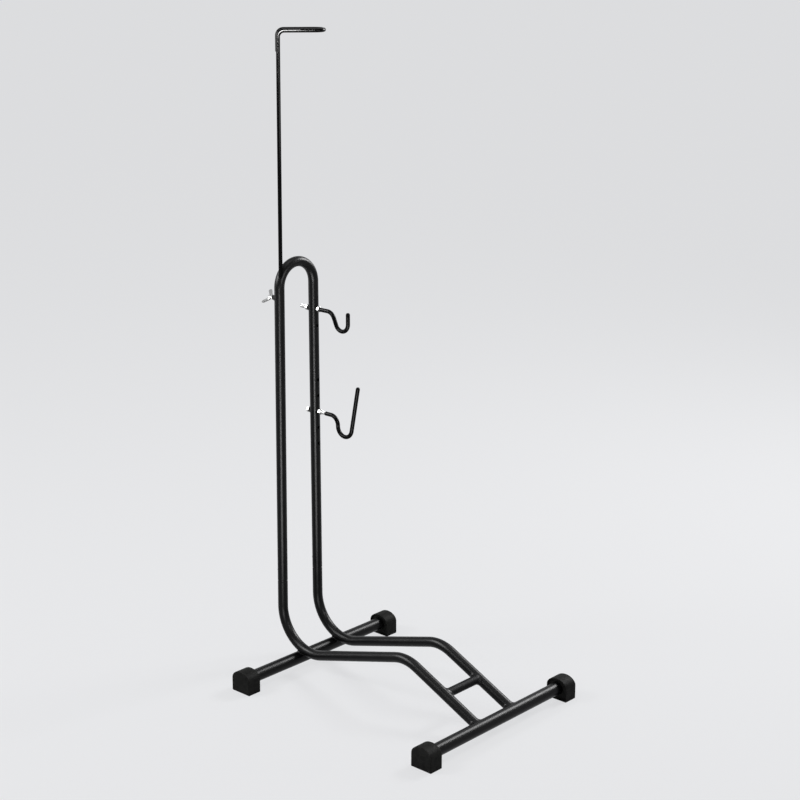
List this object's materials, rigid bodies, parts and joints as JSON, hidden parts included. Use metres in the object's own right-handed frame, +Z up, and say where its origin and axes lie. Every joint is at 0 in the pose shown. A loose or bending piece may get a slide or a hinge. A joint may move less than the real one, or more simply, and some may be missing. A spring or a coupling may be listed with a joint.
{
  "type": "bike parking stand",
  "caption": "Upright bicycle stand of bent steel tube, with J hooks bolted to one upright and a hooked rod that slides and swivels in the other.",
  "frame": {"origin": "on the floor, under the middle of the stand's bounding box", "axes": "+Z up; +X forward, from the uprights to the front cross tube; +Y to the left, the side of the upright that carries the J hooks"},
  "size_m": [0.7387, 0.542, 1.6109],
  "materials": {
    "black_enamel": "satin black stove enamel, slightly orange-peeled",
    "black_vinyl": "soft black dip coating with a low sheen",
    "black_plastic": "matt moulded polypropylene with a fine spark-eroded grain",
    "bright_zinc": "bright zinc plate"
  },
  "bodies": {
    "frame": {"rear_cross_tube": "black_enamel", "front_cross_tube": "black_enamel", "left_base_tube": "black_enamel", "right_base_tube": "black_enamel", "brace_tube": "black_enamel", "upright_hairpin": "black_enamel", "front_left_foot": "black_plastic", "front_right_foot": "black_plastic", "rear_left_foot": "black_plastic", "rear_right_foot": "black_plastic", "left_joint_screw": "bright_zinc", "right_joint_screw": "bright_zinc", "clamp_boss": "black_enamel", "upper_hook_front_saddle": "black_plastic", "upper_hook_rear_saddle": "black_plastic", "lower_hook_front_saddle": "black_plastic", "lower_hook_rear_saddle": "black_plastic", "rear_left_weld": "black_enamel", "rear_right_weld": "black_enamel", "front_left_weld": "black_enamel", "front_right_weld": "black_enamel", "brace_left_weld": "black_enamel", "brace_right_weld": "black_enamel", "clamp_boss_weld": "black_enamel"},
    "rod_slider": {"rod_guide": "black_plastic"},
    "hook_rod": {"hook_rod": "black_enamel"},
    "wing_bolt": {"wing_bolt": "bright_zinc"},
    "upper_hook": {"upper_hook_wire": "bright_zinc", "upper_hook_sleeve": "black_vinyl"},
    "lower_hook": {"lower_hook_wire": "bright_zinc", "lower_hook_sleeve": "black_vinyl"},
    "upper_front_nut": {"upper_hook_front_nut": "bright_zinc"},
    "upper_rear_nut": {"upper_hook_rear_nut": "bright_zinc"},
    "lower_front_nut": {"lower_hook_front_nut": "bright_zinc"},
    "lower_rear_nut": {"lower_hook_rear_nut": "bright_zinc"}
  },
  "joints": [
    {"name": "rod_slide", "type": "slide", "parent": "frame", "child": "rod_slider", "axis": [0, 0.0054, 1], "range_m": [-0.33, 0.29]},
    {"name": "rod_swivel", "type": "hinge", "parent": "rod_slider", "child": "hook_rod", "pos_m": [-0.3161, -0.05864, 0.961], "axis": [0, 0.0054, 1], "continuous": true},
    {"name": "wing_bolt_turn", "type": "hinge", "parent": "frame", "child": "wing_bolt", "pos_m": [-0.3434, -0.05864, 0.961], "axis": [1, 0, 0], "continuous": true},
    {"name": "upper_hook_swivel", "type": "hinge", "parent": "frame", "child": "upper_hook", "pos_m": [-0.3211, 0.05888, 0.917], "axis": [1, 0, 0], "continuous": true},
    {"name": "lower_hook_swivel", "type": "hinge", "parent": "frame", "child": "lower_hook", "pos_m": [-0.3211, 0.06033, 0.65], "axis": [1, 0, 0], "continuous": true},
    {"name": "upper_front_nut_turn", "type": "hinge", "parent": "upper_hook", "child": "upper_front_nut", "pos_m": [-0.30205, 0.05888, 0.917], "axis": [1, 0, 0], "continuous": true},
    {"name": "upper_rear_nut_turn", "type": "hinge", "parent": "upper_hook", "child": "upper_rear_nut", "pos_m": [-0.34265, 0.05888, 0.917], "axis": [1, 0, 0], "continuous": true},
    {"name": "lower_front_nut_turn", "type": "hinge", "parent": "lower_hook", "child": "lower_front_nut", "pos_m": [-0.30205, 0.06033, 0.65], "axis": [1, 0, 0], "continuous": true},
    {"name": "lower_rear_nut_turn", "type": "hinge", "parent": "lower_hook", "child": "lower_rear_nut", "pos_m": [-0.34265, 0.06033, 0.65], "axis": [1, 0, 0], "continuous": true}
  ]
}
